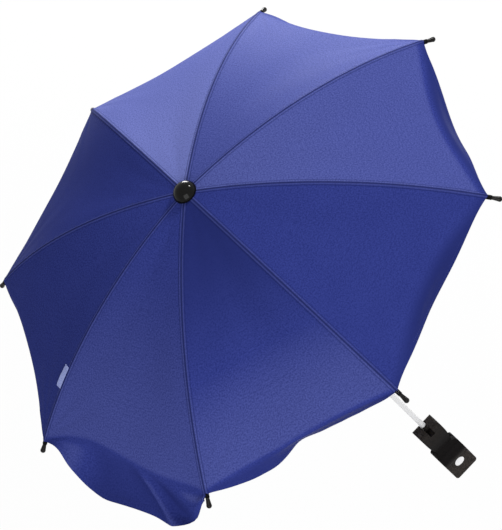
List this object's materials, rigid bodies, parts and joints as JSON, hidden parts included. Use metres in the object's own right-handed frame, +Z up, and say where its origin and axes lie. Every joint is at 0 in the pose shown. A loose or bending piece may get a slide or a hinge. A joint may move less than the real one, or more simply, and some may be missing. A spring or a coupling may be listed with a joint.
{
  "type": "pram parasol",
  "caption": "folding pram parasol with a gored cloth canopy on ribs, a tube with a runner, and a sprung clip it tilts on",
  "frame": {"origin": "the middle of the clip's jaw bore", "axes": "+Z up the tube, +X along the jaw bore, -Y the clip's front"},
  "size_m": [0.7264, 0.7264, 0.8559],
  "materials": {
    "canopy_cloth": "woven, matte with a faint sheen",
    "tag_cloth": "woven tape, bare",
    "frame_steel": "zinc plated",
    "tip_plastic": "gloss",
    "cap_plastic": "gloss",
    "tube_paint": "gloss white",
    "runner_plastic": "satin",
    "clip_plastic": "fine grain",
    "pad_rubber": "matte",
    "pin_steel": "plain",
    "badge_metal": "polished, bare"
  },
  "bodies": {
    "clip": {"clip_body": "clip_plastic", "badge_disc": "badge_metal", "body_jaw_pad": "pad_rubber", "clip_pin": "pin_steel", "tilt_pin": "pin_steel", "clip_spring": "pin_steel"},
    "lever": {"clip_lever": "clip_plastic", "lever_jaw_pad": "pad_rubber"},
    "shaft": {"shaft_tube": "tube_paint", "shaft_foot": "clip_plastic", "crown": "runner_plastic", "crown_wire": "pin_steel", "canopy_washer": "cap_plastic", "top_cap": "cap_plastic"},
    "runner": {"runner": "runner_plastic"},
    "top_catch": {"top_catch": "pin_steel"},
    "bottom_catch": {"bottom_catch": "pin_steel"},
    "rib_1": {"rib_1": "frame_steel", "rib_tip_1": "tip_plastic"},
    "stretcher_1": {"stretcher_1": "frame_steel"},
    "rib_2": {"rib_2": "frame_steel", "rib_tip_2": "tip_plastic"},
    "stretcher_2": {"stretcher_2": "frame_steel"},
    "rib_3": {"rib_3": "frame_steel", "rib_tip_3": "tip_plastic"},
    "stretcher_3": {"stretcher_3": "frame_steel"},
    "rib_4": {"rib_4": "frame_steel", "rib_tip_4": "tip_plastic"},
    "stretcher_4": {"stretcher_4": "frame_steel"},
    "rib_5": {"rib_5": "frame_steel", "rib_tip_5": "tip_plastic"},
    "stretcher_5": {"stretcher_5": "frame_steel"},
    "rib_6": {"rib_6": "frame_steel", "rib_tip_6": "tip_plastic"},
    "stretcher_6": {"stretcher_6": "frame_steel"},
    "rib_7": {"rib_7": "frame_steel", "rib_tip_7": "tip_plastic"},
    "stretcher_7": {"stretcher_7": "frame_steel"},
    "rib_8": {"rib_8": "frame_steel", "rib_tip_8": "tip_plastic"},
    "stretcher_8": {"stretcher_8": "frame_steel"},
    "gore_1_left": {"gore_1_left": "canopy_cloth"},
    "gore_1_right": {"gore_1_right": "canopy_cloth"},
    "gore_2_left": {"gore_2_left": "canopy_cloth"},
    "gore_2_right": {"gore_2_right": "canopy_cloth"},
    "gore_3_left": {"gore_3_left": "canopy_cloth"},
    "gore_3_right": {"gore_3_right": "canopy_cloth"},
    "gore_4_left": {"gore_4_left": "canopy_cloth"},
    "gore_4_right": {"gore_4_right": "canopy_cloth", "seam_tag": "tag_cloth"},
    "gore_5_left": {"gore_5_left": "canopy_cloth"},
    "gore_5_right": {"gore_5_right": "canopy_cloth"},
    "gore_6_left": {"gore_6_left": "canopy_cloth"},
    "gore_6_right": {"gore_6_right": "canopy_cloth"},
    "gore_7_left": {"gore_7_left": "canopy_cloth"},
    "gore_7_right": {"gore_7_right": "canopy_cloth"},
    "gore_8_left": {"gore_8_left": "canopy_cloth"},
    "gore_8_right": {"gore_8_right": "canopy_cloth"}
  },
  "joints": [
    {"name": "lever_squeeze", "type": "hinge", "parent": "clip", "child": "lever", "pos_m": [0, 0, 0.027], "axis": [1, 0, 0], "range_deg": [0, 18], "stiffness_Nm_per_rad": 0.6, "springref_deg": -28.65, "deforming": ["clip_spring"]},
    {"name": "shaft_tilt", "type": "hinge", "parent": "clip", "child": "shaft", "pos_m": [0, 0, 0.083], "axis": [1, 0, 0], "range_deg": [-90, 90]},
    {"name": "runner_slide", "type": "slide", "parent": "shaft", "child": "runner", "axis": [0, 0, 1], "range_m": [-0.24433, 0], "deforming": ["gore_1_left", "gore_1_right", "gore_2_left", "gore_2_right", "gore_3_left", "gore_3_right", "gore_4_left", "gore_4_right", "gore_5_left", "gore_5_right", "gore_6_left", "gore_6_right", "gore_7_left", "gore_7_right", "gore_8_left", "gore_8_right", "seam_tag"]},
    {"name": "top_catch_press", "type": "slide", "parent": "shaft", "child": "top_catch", "axis": [0, 1, 0], "range_m": [0, 0.0016], "stiffness_N_per_m": 800},
    {"name": "bottom_catch_press", "type": "slide", "parent": "shaft", "child": "bottom_catch", "axis": [0, 1, 0], "range_m": [0, 0.0016], "stiffness_N_per_m": 800},
    {"name": "rib_1_fold", "type": "hinge", "parent": "shaft", "child": "rib_1", "pos_m": [0.011, 0, 0.78746], "axis": [0, 1, 0], "range_deg": [0, 68]},
    {"name": "stretcher_1_swing", "type": "hinge", "parent": "rib_1", "child": "stretcher_1", "pos_m": [0.165, 0, 0.75449], "axis": [0, 1, 0], "range_deg": [-136, 0]},
    {"name": "rib_2_fold", "type": "hinge", "parent": "shaft", "child": "rib_2", "pos_m": [0.00778, 0.00778, 0.78746], "axis": [-0.7071, 0.7071, 0], "range_deg": [0, 68]},
    {"name": "stretcher_2_swing", "type": "hinge", "parent": "rib_2", "child": "stretcher_2", "pos_m": [0.11667, 0.11667, 0.75449], "axis": [-0.7071, 0.7071, 0], "range_deg": [-136, 0]},
    {"name": "rib_3_fold", "type": "hinge", "parent": "shaft", "child": "rib_3", "pos_m": [0, 0.011, 0.78746], "axis": [-1, 0, 0], "range_deg": [0, 68]},
    {"name": "stretcher_3_swing", "type": "hinge", "parent": "rib_3", "child": "stretcher_3", "pos_m": [0, 0.165, 0.75449], "axis": [-1, 0, 0], "range_deg": [-136, 0]},
    {"name": "rib_4_fold", "type": "hinge", "parent": "shaft", "child": "rib_4", "pos_m": [-0.00778, 0.00778, 0.78746], "axis": [-0.7071, -0.7071, 0], "range_deg": [0, 68]},
    {"name": "stretcher_4_swing", "type": "hinge", "parent": "rib_4", "child": "stretcher_4", "pos_m": [-0.11667, 0.11667, 0.75449], "axis": [-0.7071, -0.7071, 0], "range_deg": [-136, 0]},
    {"name": "rib_5_fold", "type": "hinge", "parent": "shaft", "child": "rib_5", "pos_m": [-0.011, 0, 0.78746], "axis": [0, -1, 0], "range_deg": [0, 68]},
    {"name": "stretcher_5_swing", "type": "hinge", "parent": "rib_5", "child": "stretcher_5", "pos_m": [-0.165, 0, 0.75449], "axis": [0, -1, 0], "range_deg": [-136, 0]},
    {"name": "rib_6_fold", "type": "hinge", "parent": "shaft", "child": "rib_6", "pos_m": [-0.00778, -0.00778, 0.78746], "axis": [0.7071, -0.7071, 0], "range_deg": [0, 68]},
    {"name": "stretcher_6_swing", "type": "hinge", "parent": "rib_6", "child": "stretcher_6", "pos_m": [-0.11667, -0.11667, 0.75449], "axis": [0.7071, -0.7071, 0], "range_deg": [-136, 0]},
    {"name": "rib_7_fold", "type": "hinge", "parent": "shaft", "child": "rib_7", "pos_m": [0, -0.011, 0.78746], "axis": [1, 0, 0], "range_deg": [0, 68]},
    {"name": "stretcher_7_swing", "type": "hinge", "parent": "rib_7", "child": "stretcher_7", "pos_m": [0, -0.165, 0.75449], "axis": [1, 0, 0], "range_deg": [-136, 0]},
    {"name": "rib_8_fold", "type": "hinge", "parent": "shaft", "child": "rib_8", "pos_m": [0.00778, -0.00778, 0.78746], "axis": [0.7071, 0.7071, 0], "range_deg": [0, 68]},
    {"name": "stretcher_8_swing", "type": "hinge", "parent": "rib_8", "child": "stretcher_8", "pos_m": [0.11667, -0.11667, 0.75449], "axis": [0.7071, 0.7071, 0], "range_deg": [-136, 0]},
    {"name": "gore_1_left_fold", "type": "hinge", "parent": "rib_1", "child": "gore_1_left", "pos_m": [0.011, 0, 0.78746], "axis": [0.9375, 0, -0.348], "range_deg": [0, 67.2]},
    {"name": "gore_1_right_fold", "type": "hinge", "parent": "rib_2", "child": "gore_1_right", "pos_m": [0.00778, 0.00778, 0.78746], "axis": [-0.6629, -0.6629, 0.348], "range_deg": [0, 67.2]},
    {"name": "gore_2_left_fold", "type": "hinge", "parent": "rib_2", "child": "gore_2_left", "pos_m": [0.00778, 0.00778, 0.78746], "axis": [0.6629, 0.6629, -0.348], "range_deg": [0, 67.2]},
    {"name": "gore_2_right_fold", "type": "hinge", "parent": "rib_3", "child": "gore_2_right", "pos_m": [0, 0.011, 0.78746], "axis": [0, -0.9375, 0.348], "range_deg": [0, 67.2]},
    {"name": "gore_3_left_fold", "type": "hinge", "parent": "rib_3", "child": "gore_3_left", "pos_m": [0, 0.011, 0.78746], "axis": [0, 0.9375, -0.348], "range_deg": [0, 67.2]},
    {"name": "gore_3_right_fold", "type": "hinge", "parent": "rib_4", "child": "gore_3_right", "pos_m": [-0.00778, 0.00778, 0.78746], "axis": [0.6629, -0.6629, 0.348], "range_deg": [0, 67.2]},
    {"name": "gore_4_left_fold", "type": "hinge", "parent": "rib_4", "child": "gore_4_left", "pos_m": [-0.00778, 0.00778, 0.78746], "axis": [-0.6629, 0.6629, -0.348], "range_deg": [0, 67.2]},
    {"name": "gore_4_right_fold", "type": "hinge", "parent": "rib_5", "child": "gore_4_right", "pos_m": [-0.011, 0, 0.78746], "axis": [0.9375, 0, 0.348], "range_deg": [0, 67.2]},
    {"name": "gore_5_left_fold", "type": "hinge", "parent": "rib_5", "child": "gore_5_left", "pos_m": [-0.011, 0, 0.78746], "axis": [-0.9375, 0, -0.348], "range_deg": [0, 67.2]},
    {"name": "gore_5_right_fold", "type": "hinge", "parent": "rib_6", "child": "gore_5_right", "pos_m": [-0.00778, -0.00778, 0.78746], "axis": [0.6629, 0.6629, 0.348], "range_deg": [0, 67.2]},
    {"name": "gore_6_left_fold", "type": "hinge", "parent": "rib_6", "child": "gore_6_left", "pos_m": [-0.00778, -0.00778, 0.78746], "axis": [-0.6629, -0.6629, -0.348], "range_deg": [0, 67.2]},
    {"name": "gore_6_right_fold", "type": "hinge", "parent": "rib_7", "child": "gore_6_right", "pos_m": [0, -0.011, 0.78746], "axis": [0, 0.9375, 0.348], "range_deg": [0, 67.2]},
    {"name": "gore_7_left_fold", "type": "hinge", "parent": "rib_7", "child": "gore_7_left", "pos_m": [0, -0.011, 0.78746], "axis": [0, -0.9375, -0.348], "range_deg": [0, 67.2]},
    {"name": "gore_7_right_fold", "type": "hinge", "parent": "rib_8", "child": "gore_7_right", "pos_m": [0.00778, -0.00778, 0.78746], "axis": [-0.6629, 0.6629, 0.348], "range_deg": [0, 67.2]},
    {"name": "gore_8_left_fold", "type": "hinge", "parent": "rib_8", "child": "gore_8_left", "pos_m": [0.00778, -0.00778, 0.78746], "axis": [0.6629, -0.6629, -0.348], "range_deg": [0, 67.2]},
    {"name": "gore_8_right_fold", "type": "hinge", "parent": "rib_1", "child": "gore_8_right", "pos_m": [0.011, 0, 0.78746], "axis": [-0.9375, 0, 0.348], "range_deg": [0, 67.2]}
  ],
  "couplings": [
    {"joint": "rib_1_fold", "follows": "runner_slide", "rad_per_m": -4.8574},
    {"joint": "stretcher_1_swing", "follows": "runner_slide", "rad_per_m": 9.7148},
    {"joint": "rib_2_fold", "follows": "runner_slide", "rad_per_m": -4.8574},
    {"joint": "stretcher_2_swing", "follows": "runner_slide", "rad_per_m": 9.7148},
    {"joint": "rib_3_fold", "follows": "runner_slide", "rad_per_m": -4.8574},
    {"joint": "stretcher_3_swing", "follows": "runner_slide", "rad_per_m": 9.7148},
    {"joint": "rib_4_fold", "follows": "runner_slide", "rad_per_m": -4.8574},
    {"joint": "stretcher_4_swing", "follows": "runner_slide", "rad_per_m": 9.7148},
    {"joint": "rib_5_fold", "follows": "runner_slide", "rad_per_m": -4.8574},
    {"joint": "stretcher_5_swing", "follows": "runner_slide", "rad_per_m": 9.7148},
    {"joint": "rib_6_fold", "follows": "runner_slide", "rad_per_m": -4.8574},
    {"joint": "stretcher_6_swing", "follows": "runner_slide", "rad_per_m": 9.7148},
    {"joint": "rib_7_fold", "follows": "runner_slide", "rad_per_m": -4.8574},
    {"joint": "stretcher_7_swing", "follows": "runner_slide", "rad_per_m": 9.7148},
    {"joint": "rib_8_fold", "follows": "runner_slide", "rad_per_m": -4.8574},
    {"joint": "stretcher_8_swing", "follows": "runner_slide", "rad_per_m": 9.7148},
    {"joint": "gore_1_left_fold", "follows": "runner_slide", "rad_per_m": -4.8002},
    {"joint": "gore_1_right_fold", "follows": "runner_slide", "rad_per_m": -4.8002},
    {"joint": "gore_2_left_fold", "follows": "runner_slide", "rad_per_m": -4.8002},
    {"joint": "gore_2_right_fold", "follows": "runner_slide", "rad_per_m": -4.8002},
    {"joint": "gore_3_left_fold", "follows": "runner_slide", "rad_per_m": -4.8002},
    {"joint": "gore_3_right_fold", "follows": "runner_slide", "rad_per_m": -4.8002},
    {"joint": "gore_4_left_fold", "follows": "runner_slide", "rad_per_m": -4.8002},
    {"joint": "gore_4_right_fold", "follows": "runner_slide", "rad_per_m": -4.8002},
    {"joint": "gore_5_left_fold", "follows": "runner_slide", "rad_per_m": -4.8002},
    {"joint": "gore_5_right_fold", "follows": "runner_slide", "rad_per_m": -4.8002},
    {"joint": "gore_6_left_fold", "follows": "runner_slide", "rad_per_m": -4.8002},
    {"joint": "gore_6_right_fold", "follows": "runner_slide", "rad_per_m": -4.8002},
    {"joint": "gore_7_left_fold", "follows": "runner_slide", "rad_per_m": -4.8002},
    {"joint": "gore_7_right_fold", "follows": "runner_slide", "rad_per_m": -4.8002},
    {"joint": "gore_8_left_fold", "follows": "runner_slide", "rad_per_m": -4.8002},
    {"joint": "gore_8_right_fold", "follows": "runner_slide", "rad_per_m": -4.8002}
  ]
}
